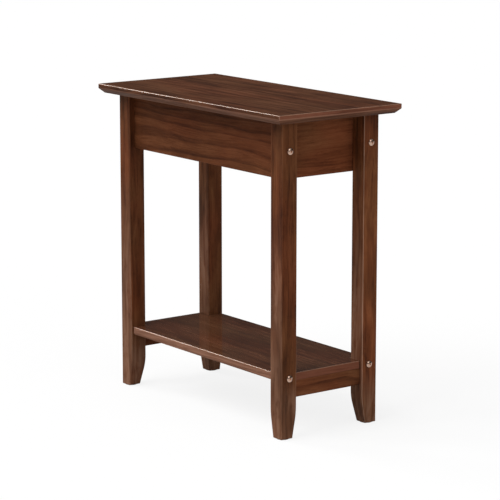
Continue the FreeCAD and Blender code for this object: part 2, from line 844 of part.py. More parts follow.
def wood_screw(name, length, at, turn=UPRIGHT):
    """A pan-head wood screw with a cross recess, its seat at the given point and its tip along +Z."""
    head = size.screw_head_diameter / 2
    shank = size.screw_diameter / 2
    body = turned(name, [
        (0, -size.screw_head_height),
        (head, -size.screw_head_height, size.screw_head_round),
        (head, 0),
        (shank, 0),
        (shank, length - size.screw_tip),
        (0, length),
    ], at, turn)
    wide = size.screw_recess_length / 2
    slim = size.screw_recess_width / 2
    for half_x, half_y in ((wide, slim), (slim, wide)):
        recess = sketch_on(body, "XY", -size.screw_head_height)
        rectangle(recess, -half_x, -half_y, half_x, half_y)
        cut(body, recess, size.screw_recess_depth, along_normal=True)
    return body


def upright_screw(name, place_xy, board_z, grip):
    """A screw that goes up through a grip of wood into the board above it."""
    return wood_screw(name, grip + size.screw_reach, (*place_xy, board_z - grip))


top_screws = [upright_screw("rail_screw", rail_screw_place, under_top, size.screw_grip)]
for index, place_xy in enumerate(cleat_screw_places):
    top_screws.append(upright_screw(f"top_screw_{index}", place_xy, under_top, size.cleat_height))
group("top_screws", [piece for item in top_screws for piece in both_sides(item)])
side_screw_seat = (box_inner_y - size.cleat_thickness, cleat_bottom + size.cleat_height / 2)
side_screw_length = size.cleat_thickness + size.side_screw_reach
cleat_screws = [
    wood_screw(f"cleat_screw_{index}", side_screw_length, (cleat_x(share), *side_screw_seat), ALONG_Y)
    for index, share in enumerate(CLEAT_SIDE_SCREW_SHARES)
]
group("cleat_screws", [piece for item in cleat_screws for piece in both_sides(item)])
shelf_screw_place = (shelf_rail_x, shelf_rail_screw_y)
shelf_screw = upright_screw("shelf_screw", shelf_screw_place, size.shelf_clearance, size.screw_grip)
group("shelf_rail_screws", all_corners(shelf_screw))


def foot_glide():
    """A nail-on glide under a leg."""
    radius = size.glide_diameter / 2
    nail = size.nail_diameter / 2
    nail_end = size.glide_thickness + size.nail_length
    return turned("foot_glide", [
        (0, 0),
        (radius, 0, size.glide_edge_round),
        (radius, size.glide_thickness),
        (nail, size.glide_thickness),
        (nail, nail_end - size.nail_tip),
        (0, nail_end),
    ], (foot_x, foot_y, 0))


group("foot_glides", all_corners(foot_glide()))


def lid_bumper():
    """A thin bumper on the front end panel, just under the lid."""
    radius = size.bumper_diameter / 2
    height = size.top_gap - size.bumper_clearance
    return turned("lid_bumper", [
        (0, 0),
        (radius, 0),
        (radius, height, size.bumper_round),
        (0, height),
    ], (end_panel_x, box_inner_y - size.bumper_inset, box_top))


group("lid_bumpers", both_sides(lid_bumper()))


def arc_piece(name, clearance, angle):
    """A bent strip about the hinge axis, hanging evenly to both sides of the seam."""
    body = new_body(name, (0, size.hinge_spacing / 2, hinge_axis_z))
    half_width = size.link_width / 2 + clearance
    section = sketch_on(body, "YZ")
    rectangle(
        section,
        -half_width,
        -size.link_outer_radius - clearance,
        half_width,
        clearance - size.link_inner_radius,
    )
    feature = body.newObject("PartDesign::Revolution", f"{body.Name}_bent")
    feature.Profile = section
    feature.ReferenceAxis = (section, ["H_Axis"])
    feature.Midplane = True
    bind(feature, "Angle", angle)
    doc.recompute()
    return body


def hinge_barrel(name, front, slot):
    """A barrel let into the seam face of one half of the top, slotted for the link."""
    solid = doc.addObject("Part::Cylinder", f"{name}_solid")
    bind(solid, "Radius", size.barrel_diameter / 2)
    bind(solid, "Height", size.barrel_length)
    start = (front * size.seam_gap / 2, size.hinge_spacing / 2, barrel_z)
    place(solid, start, ALONG_X if front > 0 else ALONG_MINUS_X)
    item = doc.addObject("Part::Cut", name)
    item.Base = solid
    item.Tool = slot
    return item


link_slot = arc_piece("link_slot", size.link_clearance, size.slot_angle)
hinge_pieces = {
    "link": arc_piece("hinge_right_link", 0, size.link_angle),
    "lid_barrel": hinge_barrel("hinge_right_lid_barrel", 1, link_slot),
    "fixed_barrel": hinge_barrel("hinge_right_fixed_barrel", -1, link_slot),
}
for piece, item in hinge_pieces.items():
    nodes[f"hinge_right_{piece}"] = item
    nodes[f"hinge_left_{piece}"] = mirror(f"hinge_left_{piece}", item, ACROSS_Y)

doc.recompute()
for node, item in nodes.items():
    item.Label = node

# Nothing is written unless every object is sound
for item in doc.Objects:
    if {"Invalid", "Error"} & set(item.State):
        raise ValueError(f"{item.Name} failed: {item.State}")
for node, item in nodes.items():
    if item.Shape.isNull() or not item.Shape.isValid():
        raise ValueError(f"{node} has no sound shape")

os.makedirs("parts", exist_ok=True)
for node, item in nodes.items():
    item.Shape.exportStep(f"parts/{node}.step")
    print(node, len(item.Shape.Solids), round(item.Shape.Volume))
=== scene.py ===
import json
import math
from typing import NamedTuple

import bpy
from mathutils import Matrix, Vector


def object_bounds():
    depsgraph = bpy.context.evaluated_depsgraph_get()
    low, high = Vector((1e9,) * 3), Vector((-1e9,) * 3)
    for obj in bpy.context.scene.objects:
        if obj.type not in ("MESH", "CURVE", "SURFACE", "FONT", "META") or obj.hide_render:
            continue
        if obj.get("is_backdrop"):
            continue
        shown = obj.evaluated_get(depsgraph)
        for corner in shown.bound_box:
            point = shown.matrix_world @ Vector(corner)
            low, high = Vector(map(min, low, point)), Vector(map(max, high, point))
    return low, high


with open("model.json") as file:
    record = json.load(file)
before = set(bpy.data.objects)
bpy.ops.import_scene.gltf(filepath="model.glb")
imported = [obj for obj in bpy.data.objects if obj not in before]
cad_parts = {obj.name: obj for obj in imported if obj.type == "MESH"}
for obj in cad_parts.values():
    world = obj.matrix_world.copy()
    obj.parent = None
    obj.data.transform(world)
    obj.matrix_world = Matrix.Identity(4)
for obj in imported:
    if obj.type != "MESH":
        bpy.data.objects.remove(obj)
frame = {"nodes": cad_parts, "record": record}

cad_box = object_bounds()
cad_nodes = frame["nodes"]

# Colours are linear, and lengths are metres
WHITE = (1.0, 1.0, 1.0)
AXES = "xyz"
SURFACE = "Principled BSDF"


class Pattern(NamedTuple):
    """A noise in a material."""

    scales: tuple           # how often it repeats in a metre, on each axis
    detail: float = 2.0     # how many finer layers it has
    roughness: float = 0.5  # how strong those layers are
    span: tuple = ()        # the part of its range that is stretched over 0 to 1, if it is stretched


class Shading:
    """The nodes of a material or of the surroundings, with short ways to add to them."""

    def __init__(self, owner):
        owner.use_nodes = True
        self.owner = owner
        self.tree = owner.node_tree

    def feed(self, socket, value):
        """Links a socket to another, or sets it."""
        if isinstance(value, bpy.types.NodeSocket):
            self.tree.links.new(value, socket)
            return
        if socket.type == "RGBA" and len(value) == len(WHITE):
            value = (*value, 1.0)
        socket.default_value = value

    def fill(self, node, inputs):
        """Feeds a node's inputs, by name, or in order where the names repeat."""
        pairs = inputs.items() if isinstance(inputs, dict) else enumerate(inputs)
        for key, value in pairs:
            self.feed(node.inputs[key], value)
        return node

    def add(self, kind, inputs, **settings):
        """Adds a node."""
        node = self.tree.nodes.new(f"ShaderNode{kind}")
        for name, value in settings.items():
            setattr(node, name, value)
        return self.fill(node, inputs)

    def calculate(self, operation, *numbers):
        """The result of a sum."""
        return self.add("Math", numbers, operation=operation).outputs[0]

    def size(self, number):
        """A number without its sign."""
        return self.calculate("ABSOLUTE", number)

    def product(self, *numbers):
        """Several numbers multiplied."""
        result = numbers[0]
        for number in numbers[1:]:
            result = self.calculate("MULTIPLY", result, number)
        return result

    def spread(self, value, low, high, to_low=0.0, to_high=1.0):
        """A value's range stretched softly over another range."""
        inputs = {"Value": value, "From Min": low, "From Max": high, "To Min": to_low, "To Max": to_high}
        return self.add("MapRange", inputs, interpolation_type="SMOOTHSTEP").outputs["Result"]

    def vector(self, operation, *vectors):
        """The result of a sum of vectors."""
        return self.add("VectorMath", vectors, operation=operation).outputs["Vector"]

    def parts(self, vector):
        """The three parts of a vector."""
        return self.add("SeparateXYZ", [vector]).outputs

    def place(self):
        """The place of a point, on the piece's own axes."""
        return self.add("TexCoord", {}).outputs["Object"]

    def facing(self):
        """The three parts of the direction that the surface faces, on the piece's own axes."""
        return self.parts(self.add("TexCoord", {}).outputs["Normal"])

    def noise(self, place, pattern):
        """A pattern's noise at a place, with each axis scaled on its own."""
        scaled = self.vector("MULTIPLY", place, pattern.scales)
        inputs = {"Vector": scaled, "Scale": 1.0, "Detail": pattern.detail, "Roughness": pattern.roughness}
        return self.add("TexNoise", inputs).outputs

    def pattern(self, place, pattern):
        """How strong a pattern is at a place."""
        strength = self.noise(place, pattern)["Fac"]
        return self.spread(strength, *pattern.span) if pattern.span else strength

    def ramp(self, value, stops):
        """Colours along a value."""
        node = self.add("ValToRGB", {"Fac": value})
        elements = node.color_ramp.elements
        while len(elements) < len(stops):
            elements.new(1.0)
        for element, (place, colour) in zip(elements, stops):
            element.position = place
            element.color = (*colour, 1.0)
        return node.outputs["Color"]

    def mix(self, data_type, amount, under, over, **settings):
        """One colour or vector over another."""
        node = self.add("Mix", {"Factor": amount}, data_type=data_type, **settings)
        sockets = {item.name: item for item in node.inputs if item.type == data_type}
        self.feed(sockets["A"], under)
        self.feed(sockets["B"], over)
        return next(item for item in node.outputs if item.type == data_type)

    def blend(self, amount, under, over, kind="MIX"):
        """One colour over another."""
        return self.mix("RGBA", amount, under, over, blend_type=kind)

    def relief(self, height, strength, depth):
        """The direction of a surface with small ups and downs."""
        inputs = {"Height": height, "Strength": strength, "Distance": depth}
        return self.add("Bump", inputs).outputs["Normal"]

    def finish(self, inputs, node=SURFACE):
        """Feeds a node that was there from the start."""
        self.fill(self.tree.nodes[node], inputs)
        return self.owner


def new_material(name):
    """The nodes of a new material."""
    return Shading(bpy.data.materials.new(name))


class Board(NamedTuple):
    """How one wooden piece was cut, stained and polished."""

    along: str                  # the axis that its fibres run along
    start: tuple                # where it was cut from the trunk
    pith: tuple                 # where the middle of the trunk lies, across the fibres
    ring_pitch: float           # how far apart the growth rings are
    rings: float                # how dark the late wood is
    figure: float               # how dark the broad figure is
    tone: tuple                 # what its stain does to the palette
    gloss: float = 0.03         # the specular level of the wood
    polish: float = 0.0         # the weight of the lacquer's clear coat
    coat_blur: float = 0.15     # how rough that coat is
    edge_wear_and_highlight: float = 0.10     # how pale its eased edges are, from wear and a painted highlight
    moulding_painted_light: float = 0.0  # how much painted light the lower part of its moulding gets
    side_band_and_sheen: float = 0.0      # how pale the bands on its long sides are, partly a painted sheen
    end_band: float = 0.0       # how pale the bands on its ends are
    scuffed_and_sheen: float = 0.0        # how far it pales towards the floor, from scuffing and a painted sheen of the floor's light
    streaks: float = 0.20       # how dark the fine streaks along its fibres are
    patches: float = 0.7        # how much its hue varies
    figure_pace: float = 2.4    # how often the figure repeats in a metre along the fibres
    mottled: float = 0.0        # how dark the small mottles are


class Grain(NamedTuple):
    """The patterns in one board, as sockets."""

    late_wood: object  # the dark part of each growth ring
    figure: object     # broad dark clouds along the fibres
    mottle: object     # small dark spots, or zero on a board without them
    streak: object     # fine dark lines along the fibres
    fibre: object      # the fibres
    pores: object      # short open pores
    blotch: object     # uneven stain
    hue: object        # olive stain at 0 and red at 1
    clear: object      # how far the wear and painted light show through the streaks and fibres


# The patterns in wood. Their first axis lies along the fibres.
WANDER = Pattern((2.2, 8.0, 8.0), detail=3.0)
UNEVEN = Pattern((0.9, 20.0, 20.0), detail=1.0)
STREAK = Pattern((2.6, 120.0, 120.0), detail=3.0, roughness=0.6, span=(0.40, 0.68))
FIBRE = Pattern((12.0, 420.0, 420.0), detail=3.0, roughness=0.6)
PORE = Pattern((80.0, 2100.0, 2100.0), detail=1.0, span=(0.58, 0.70))
BLOTCH = Pattern((8.0, 17.0, 17.0), detail=3.0, span=(0.34, 0.68))
HUE = Pattern((5.0, 13.0, 13.0), span=(0.36, 0.64))
MOTTLE = Pattern((24.0, 75.0, 75.0), detail=3.0, roughness=0.6, span=(0.44, 0.70))
FIGURE_ACROSS = 36.0
FIGURE_SPAN = (0.42, 0.70)
MIDDLE = (0.5, 0.5, 0.5)          # the middle of a noise's colour
WANDER_REACH = (0.0, 0.05, 0.05)  # how far the fibres wander
ACROSS_FIBRES = (0.0, 1.0, 1.0)
UNEVEN_RINGS = 2.4                # by how many rings the growth rings waver
RING_DARKENS = (0.45, 0.84)       # where in each ring the late wood darkens
RING_ENDS = (1.0, 0.89)           # where it ends
CLEAR_SPAN = (1.30, 0.30)         # streak and fibre added, where the wear and painted light show least and where they all show
CLEAR_LEAST = 0.45                # how far they show at the least
END_FACING = 0.5                  # how far a surface faces along the fibres where it is an end


def fibre_place(shading, board):
    """The place in a board, with its fibres along the first axis, and bands across its ends."""
    parts = shading.parts(shading.place())
    along = AXES.index(board.along)
    side, other = (axis for axis in range(len(AXES)) if axis != along)
    lengthways = shading.add("CombineXYZ", [parts[along], parts[side], parts[other]]).outputs[0]
    crossways = shading.add("CombineXYZ", [parts[side], parts[other], parts[along]]).outputs[0]
    at_end = shading.calculate("GREATER_THAN", shading.size(shading.facing()[along]), END_FACING)
    return shading.vector("ADD", shading.mix("VECTOR", at_end, lengthways, crossways), board.start)


def growth_rings(shading, board, wavy):
    """Dark late wood in rings about the pith."""
    outward = shading.vector("SUBTRACT", wavy, (0.0, *board.pith))
    outward = shading.vector("MULTIPLY", outward, ACROSS_FIBRES)
    radius = shading.add("VectorMath", [outward], operation="LENGTH").outputs["Value"]
    even = shading.calculate("DIVIDE", radius, board.ring_pitch)
    rings = shading.calculate("MULTIPLY_ADD", shading.pattern(wavy, UNEVEN), UNEVEN_RINGS, even)
    ring = shading.calculate("FRACT", rings)
    return shading.product(shading.spread(ring, *RING_DARKENS), shading.spread(ring, *RING_ENDS))


def wood_grain(shading, board):
    """The patterns in a board. All but the blotches and the hue follow fibres that wander a little."""
    place = fibre_place(shading, board)
    wander = shading.vector("SUBTRACT", shading.noise(place, WANDER)["Color"], MIDDLE)
    wavy = shading.vector("ADD", place, shading.vector("MULTIPLY", wander, WANDER_REACH))
    figure = Pattern((board.figure_pace, FIGURE_ACROSS, FIGURE_ACROSS), span=FIGURE_SPAN)
    streak = shading.pattern(wavy, STREAK)
    fibre = shading.pattern(wavy, FIBRE)
    return Grain(
        late_wood=growth_rings(shading, board, wavy),
        figure=shading.pattern(wavy, figure),
        mottle=shading.pattern(wavy, MOTTLE) if board.mottled else 0.0,
        streak=streak,
        fibre=fibre,
        pores=shading.pattern(wavy, PORE),
        blotch=shading.pattern(place, BLOTCH),
        hue=shading.pattern(place, HUE),
        clear=shading.spread(shading.calculate("ADD", streak, fibre), *CLEAR_SPAN, CLEAR_LEAST, 1.0),
    )


# The stain, from pale to deep and from olive to red. A depth is what a pattern adds to it.
STAIN_STOPS = [
    (0.00, (0.185, 0.071, 0.032)),
    (0.36, (0.112, 0.039, 0.0165)),
    (0.70, (0.054, 0.0185, 0.0088)),
    (1.00, (0.025, 0.0092, 0.0056)),
]
HUE_STOPS = [(0.0, (0.93, 1.00, 0.92)), (1.0, (1.16, 0.92, 0.84))]
FIBRE_SPAN = (0.30, 0.72)
FIBRE_DEPTH = 0.20
BLOTCH_DEPTH = 0.18
PORE_DEPTH = 0.22


def stain(shading, board, grain):
    """The colour of a board's stain, deepest in the late wood, the figure, the streaks and the pores."""
    depth = shading.calculate("MULTIPLY", grain.late_wood, board.rings)
    layers = [
        (grain.figure, board.figure),
        (grain.streak, board.streaks),
        (shading.spread(grain.fibre, *FIBRE_SPAN), FIBRE_DEPTH),
        (grain.blotch, BLOTCH_DEPTH),
        (grain.mottle, board.mottled),
        (grain.pores, PORE_DEPTH),
    ]
    for pattern, weight in layers:
        depth = shading.calculate("MULTIPLY_ADD", pattern, weight, depth)
    colour = shading.blend(1.0, shading.ramp(depth, STAIN_STOPS), board.tone, "MULTIPLY")
    return shading.blend(board.patches, colour, shading.ramp(grain.hue, HUE_STOPS), "MULTIPLY")


# Pale faces: wear, and painted light where noted. A range is of a part of the surface's direction, from
# least to most, here and below.
# The pale band colour is partly a painted sheen on the shelf's sides, and painted light on the top's
# moulding
PALE_BAND_AND_PAINTED_LIGHT = (0.275, 0.136, 0.088)
SIDE_FACES = (0.60, 0.75)
END_STAIN = (0.225, 0.080, 0.047)
END_FACES = (0.80, 0.90)
ROUND_DIPS = (-0.10, -0.26)
UNDERSIDE_DIPS = (-0.95, -0.80)
BEVEL_TO_ROUND_DIPS = (-0.62, -0.48)
BEVEL_SIDES = (0.30, 0.60)
END_BEVEL_SHARE = 0.15           # how much painted light an end's bevel gets beside the round above it
SIDE_BEVEL_SHARE = 0.55          # how much painted light a side's bevel gets beside the round above it
# Legs pale towards the floor from scuffing and a painted sheen of the floor's light
SCUFF_AND_SHEEN_COLOUR = (0.225, 0.116, 0.072)
SCUFF_AND_SHEEN_HEIGHT = 0.12              # how high the scuffing and painted sheen reach on a leg's end faces
SCUFF_AND_SHEEN_SIDE_RISE = 0.34           # how much higher they reach on its sides
SCUFF_AND_SHEEN_FADE_SHARES = (1.0, 0.45)  # the shares of that height between which they fade
SCUFF_AND_SHEEN_HIDDEN_SHARE = 0.7         # how far the figure and the mottles hide them


def scuffs_and_sheen(shading, grain, sides):
    """How pale a leg is towards the floor, from scuffing and a painted sheen of the floor's light."""
    height = shading.parts(shading.place())[2]
    starts = shading.calculate("MULTIPLY_ADD", sides, SCUFF_AND_SHEEN_SIDE_RISE, SCUFF_AND_SHEEN_HEIGHT)
    low = shading.spread(shading.calculate("DIVIDE", height, starts), *SCUFF_AND_SHEEN_FADE_SHARES)
    dark = shading.calculate("MAXIMUM", grain.figure, grain.mottle)
    return shading.product(low, shading.calculate("MULTIPLY_ADD", dark, -SCUFF_AND_SHEEN_HIDDEN_SHARE, 1.0))


def lower_moulding(shading, sides):
    """Painted light on a moulding's underside: a highlight most on its round, less on the bevel, least at an
    end.
    """
    rise = shading.facing()[2]
    bevel = shading.spread(sides, *BEVEL_SIDES, END_BEVEL_SHARE, SIDE_BEVEL_SHARE)
    leaning = shading.product(shading.spread(rise, *ROUND_DIPS), shading.spread(rise, *UNDERSIDE_DIPS))
    return shading.product(leaning, shading.spread(rise, *BEVEL_TO_ROUND_DIPS, bevel, 1.0))


def areas_of_wear_and_painted_light(shading, board, grain):
    """The pale parts of a board besides its eased edges, from wear and painted light: where each is, how
    pale, its colour.
    """
    ends, sides = (shading.size(part) for part in shading.facing()[:2])
    if board.side_band_and_sheen:
        yield shading.spread(sides, *SIDE_FACES), board.side_band_and_sheen, PALE_BAND_AND_PAINTED_LIGHT
    if board.end_band:
        yield shading.spread(ends, *END_FACES), board.end_band, END_STAIN
    if board.scuffed_and_sheen:
        yield scuffs_and_sheen(shading, grain, sides), board.scuffed_and_sheen, SCUFF_AND_SHEEN_COLOUR
    if board.moulding_painted_light:
        yield lower_moulding(shading, sides), board.moulding_painted_light, PALE_BAND_AND_PAINTED_LIGHT


# Eased edges, pale from wear and a painted highlight
EDGE_WEAR_AND_HIGHLIGHT = (0.62, 0.40, 0.29)
EDGE_LEANS = (0.95, 0.80)
EDGE_RISES = (-0.25, -0.08)
EDGE_CLEAR_LEAST = 0.8       # how far an edge's wear and painted highlight show at the least
END_EDGE_LEANS = (0.35, 0.10)
END_EDGE_SHARE = 0.36        # how pale an end's edge is beside a side's, in wear and painted highlight
SEAM_SIDES = (0.1, 0.3)
SEAM_REACH = (0.004, 0.012)  # how far from the seam the wear starts and is full


def eased_edges(shading):
    """Where a surface leans sideways or upwards between the piece's axes, as its rounded edges do."""
    parts = shading.facing()
    along, across, upright = (shading.size(part) for part in parts)
    largest = shading.calculate("MAXIMUM", shading.calculate("MAXIMUM", along, across), upright)
    return shading.product(shading.spread(largest, *EDGE_LEANS), shading.spread(parts[2], *EDGE_RISES))


def away_from_seam(shading):
    """All but the edges that meet at the seam across the top, which are stained as dark as the rest."""
    along = shading.size(shading.parts(shading.place())[0])
    sideways = shading.size(shading.facing()[1])
    beyond = shading.spread(along, *SEAM_REACH)
    return shading.calculate("MAXIMUM", beyond, shading.spread(sideways, *SEAM_SIDES))


def edges_of_wear_and_highlight(shading, board, grain):
    """How pale a board's eased edges are from wear and a painted highlight: less at its ends, and not where
    the halves of a top meet.
    """
    ends = shading.size(shading.facing()[0])
    lengthways = shading.spread(ends, *END_EDGE_LEANS, END_EDGE_SHARE, 1.0)
    clear = shading.spread(grain.clear, CLEAR_LEAST, 1.0, EDGE_CLEAR_LEAST, 1.0)
    edges_worn_and_highlit = shading.product(eased_edges(shading), lengthways, clear, board.edge_wear_and_highlight)
    if board.moulding_painted_light:
        edges_worn_and_highlit = shading.product(edges_worn_and_highlit, away_from_seam(shading))
    return edges_worn_and_highlit


# The surface of wood. A relief is its strength and its depth, here and below.
UPPER_FACES = (0.60, 0.80)     # from no lacquer to all of it
FIBRE_LEVELS = (0.2, 0.8)      # the part of the fibres' range that changes the roughness
WOOD_ROUGHNESS = (0.40, 0.54)  # the roughness at the ends of that part
FIBRE_RISE = 0.5
PORE_SINK = -0.7
WOOD_RELIEF = (0.20, 0.0004)


def lacquer(shading, board, edges_worn_and_highlit):
    """The weight of the clear coat on a board's upper faces, and on the edges that are pale with wear and a
    painted highlight.
    """
    if not board.polish:
        return 0.0
    upper = shading.spread(shading.facing()[2], *UPPER_FACES)
    return shading.calculate("MAXIMUM", shading.product(upper, board.polish), edges_worn_and_highlit)


def stained_wood(name, board):
    """Stained and lacquered wood, cut from a trunk whose pith lies off the board."""
    shading = new_material(name)
    grain = wood_grain(shading, board)
    colour = stain(shading, board, grain)
    # Pale faces from wear, with painted sheen and painted light where noted above
    for where, weight, paler in areas_of_wear_and_painted_light(shading, board, grain):
        colour = shading.blend(shading.product(where, grain.clear, weight), colour, paler)
    # Pale edges from wear and a painted highlight
    edges_worn_and_highlit = edges_of_wear_and_highlight(shading, board, grain)
    fibres = shading.calculate("MULTIPLY", grain.fibre, FIBRE_RISE)
    grooves = shading.calculate("MULTIPLY_ADD", grain.pores, PORE_SINK, fibres)
    return shading.finish({
        "Base Color": shading.blend(edges_worn_and_highlit, colour, EDGE_WEAR_AND_HIGHLIGHT),
        "Roughness": shading.spread(grain.fibre, *FIBRE_LEVELS, *WOOD_ROUGHNESS),
        "Normal": shading.relief(grooves, *WOOD_RELIEF),
        "Specular IOR Level": board.gloss,
        "Coat Weight": lacquer(shading, board, edges_worn_and_highlit),
        "Coat Roughness": board.coat_blur,
    })


def top_board():
    """The two halves of the top, cut from one board."""
    return Board(
        along="x", start=(0.0, 0.21, 0.35), pith=(1.10, 0.62), ring_pitch=0.013, rings=0.14, figure=0.12,
        tone=(0.84, 0.92, 1.09), polish=0.07, edge_wear_and_highlight=0.85, moulding_painted_light=0.75, end_band=0.80,
        streaks=0.44, patches=0.35,
    )


def polished_shelf():
    """The shelf, with the brightest lacquer and pale bands round it, those on its sides partly a painted
    sheen.
    """
    return Board(
        along="x", start=(14.78, 0.614, 0.206), pith=(0.55, 0.25), ring_pitch=0.012, rings=0.12, figure=0.18,
        tone=(0.76, 0.82, 0.94), polish=0.90, coat_blur=0.06, edge_wear_and_highlight=1.0, side_band_and_sheen=0.95, end_band=0.60,
        streaks=0.16, patches=0.5,
    )


def side_panel(start, pith):
    """A long panel, with wide wavy rings."""
    return Board(
        along="x", start=start, pith=pith, ring_pitch=0.020, rings=0.26, figure=0.06,
        tone=(0.88, 0.80, 0.76), gloss=0.02, streaks=0.12, patches=0.35,
    )


def end_panel(start, pith):
    """An end panel, with fine level grain."""
    return Board(
        along="y", start=start, pith=pith, ring_pitch=0.012, rings=0.09, figure=0.14,
        tone=(1.02, 0.98, 0.96), gloss=0.02, streaks=0.14,
    )


def shelf_rail(start, pith):
    """A rail under the shelf."""
    return Board(
        along="y", start=start, pith=pith, ring_pitch=0.010, rings=0.26, figure=0.36,
        tone=(1.02, 0.98, 0.96), edge_wear_and_highlight=0.14,
    )


def leg(start, pith, tone, scuffed_and_sheen, edge_wear_and_highlight=0.12):
    """A leg, with soft upright streaks and dark mottles."""
    return Board(
        along="z", start=start, pith=pith, ring_pitch=0.013, rings=0.12, figure=0.28,
        tone=tone, edge_wear_and_highlight=edge_wear_and_highlight, scuffed_and_sheen=scuffed_and_sheen, streaks=0.22, patches=0.6,
        figure_pace=7.0, mottled=0.09,
    )


def inner_board(along, start, pith):
    """A board inside the box, which is stained but not polished."""
    return Board(
        along=along, start=start, pith=pith, ring_pitch=0.011, rings=0.24, figure=0.28,
        tone=(1.1, 1.08, 1.05), edge_wear_and_highlight=0.08,
    )


WOODEN = {
    "lid": top_board(),
    "fixed_top": top_board(),
    "shelf": polished_shelf(),
    "side_panel_left": side_panel(start=(19.71, 0.273, 0.152), pith=(0.02, 1.45)),
    "side_panel_right": side_panel(start=(9.9, 0.62, 0.31), pith=(0.70, 1.90)),
    "end_panel_front": end_panel(start=(10.34, 0.256, 0.291), pith=(0.40, 1.75)),
    "end_panel_rear": end_panel(start=(5.2, 0.33, 0.41), pith=(0.05, 1.95)),
    "shelf_rail_front": shelf_rail(start=(2.4, 0.52, 0.13), pith=(0.35, 0.20)),
    "shelf_rail_rear": shelf_rail(start=(6.6, 0.18, 0.61), pith=(-0.15, 0.30)),
    "leg_front_left": leg(
        start=(13.16, 0.218, 0.342), pith=(0.45, -0.02), tone=(0.98, 0.93, 0.88), scuffed_and_sheen=0.92,
    ),
    "leg_front_right": leg(
        start=(12.58, 0.494, 0.116), pith=(0.60, 0.30), tone=(1.30, 1.26, 1.16), scuffed_and_sheen=0.95, edge_wear_and_highlight=1.0,
    ),
    "leg_rear_left": leg(
        start=(12.55, 0.685, 0.21), pith=(0.15, 0.42), tone=(1.02, 1.00, 0.97), scuffed_and_sheen=1.0,
    ),
    "leg_rear_right": leg(
        start=(16.75, 0.505, 0.28), pith=(0.05, 0.60), tone=(1.0, 0.97, 0.92), scuffed_and_sheen=0.85,
    ),
    "compartment_floor": inner_board(along="x", start=(2.9, 0.81, 0.47), pith=(0.25, 0.35)),
    "cross_rail": inner_board(along="y", start=(3.7, 0.66, 0.29), pith=(0.20, 0.45)),
    "top_cleat_left": inner_board(along="x", start=(6.1, 0.25, 0.74), pith=(0.05, 0.95)),
    "top_cleat_right": inner_board(along="x", start=(8.8, 0.58, 0.16), pith=(0.45, 0.55)),
}

# The dowels
DOWEL_FIBRE = Pattern((320.0, 320.0, 320.0), detail=4.0, roughness=0.65)
DOWEL_STOPS = [(0.25, (0.66, 0.47, 0.29)), (0.75, (0.45, 0.29, 0.16))]
DOWEL_ROUGHNESS = (0.6, 0.8)
DOWEL_RELIEF = (0.2, 0.0003)


def bare_wood(name):
    """Pale unfinished wood of the dowels."""
    shading = new_material(name)
    fibre = shading.pattern(shading.place(), DOWEL_FIBRE)
    return shading.finish({
        "Base Color": shading.ramp(fibre, DOWEL_STOPS),
        "Roughness": shading.spread(fibre, *FIBRE_LEVELS, *DOWEL_ROUGHNESS),
        "Normal": shading.relief(fibre, *DOWEL_RELIEF),
    })


# Metal. Levels are the part of a pattern's range that counts, here and below.
TARNISH = Pattern((260.0, 260.0, 260.0), detail=3.0)
TARNISH_LEVELS = (0.3, 0.75)
SCRATCH = Pattern((900.0, 5200.0, 2400.0))
SCRATCH_LEVELS = (0.3, 0.75)
SCRATCH_ROUGHNESS_SHARES = (0.75, 1.35)
METAL_RELIEF = (0.12, 0.0001)


def plated_metal(name, bright, dull, roughness):
    """Plated or plain metal with fine scratches and a little tarnish."""
    shading = new_material(name)
    place = shading.place()
    tarnish = shading.pattern(place, TARNISH)
    scratch = shading.pattern(place, SCRATCH)
    rough = (roughness * share for share in SCRATCH_ROUGHNESS_SHARES)
    return shading.finish({
        "Base Color": shading.ramp(tarnish, list(zip(TARNISH_LEVELS, (bright, dull)))),
        "Metallic": 1.0,
        "Roughness": shading.spread(scratch, *SCRATCH_LEVELS, *rough),
        "Normal": shading.relief(scratch, *METAL_RELIEF),
    })


# Plastic and rubber: fine pebbles all over, and rubbed patches that are paler and smoother
PEBBLE = Pattern((2200.0, 2200.0, 2200.0))
RUBBED = Pattern((90.0, 90.0, 90.0), detail=3.0)
RUBBED_COLOUR_LEVELS = (0.35, 0.8)
RUBBED_ROUGHNESS_LEVELS = (0.3, 0.8)
RUBBED_COLOUR_SHARE = 1.6
RUBBED_ROUGHNESS_SHARE = 0.8
MOULDED_RELIEF = (0.25, 0.0002)


def moulded(name, colour, roughness):
    """Matt moulded plastic or rubber."""
    shading = new_material(name)
    place = shading.place()
    pebble = shading.pattern(place, PEBBLE)
    rubbed = shading.pattern(place, RUBBED)
    paler = tuple(part * RUBBED_COLOUR_SHARE for part in colour)
    smoother = roughness * RUBBED_ROUGHNESS_SHARE
    return shading.finish({
        "Base Color": shading.ramp(rubbed, list(zip(RUBBED_COLOUR_LEVELS, (colour, paler)))),
        "Roughness": shading.spread(rubbed, *RUBBED_ROUGHNESS_LEVELS, roughness, smoother),
        "Normal": shading.relief(pebble, *MOULDED_RELIEF),
    })


SMALL_FINISHES = {
    "dowel_wood": bare_wood("bare_dowel_wood"),
    "bolt_metal": plated_metal(
        "antique_nickel", bright=(0.56, 0.38, 0.29), dull=(0.30, 0.18, 0.13), roughness=0.24,
    ),
    "zinc_steel": plated_metal(
        "zinc_plate", bright=(0.66, 0.67, 0.68), dull=(0.50, 0.51, 0.52), roughness=0.34,
    ),
    "hinge_brass": plated_metal(
        "hinge_brass", bright=(0.80, 0.60, 0.30), dull=(0.62, 0.43, 0.20), roughness=0.30,
    ),
    "glide_plastic": moulded("glide_plastic", colour=(0.020, 0.017, 0.015), roughness=0.55),
    "bumper_rubber": moulded("bumper_rubber", colour=(0.045, 0.040, 0.036), roughness=0.75),
}


def give(node, material):
    """Gives a piece its material."""
    slots = cad_nodes[node].data.materials
    slots.clear()
    slots.append(material)


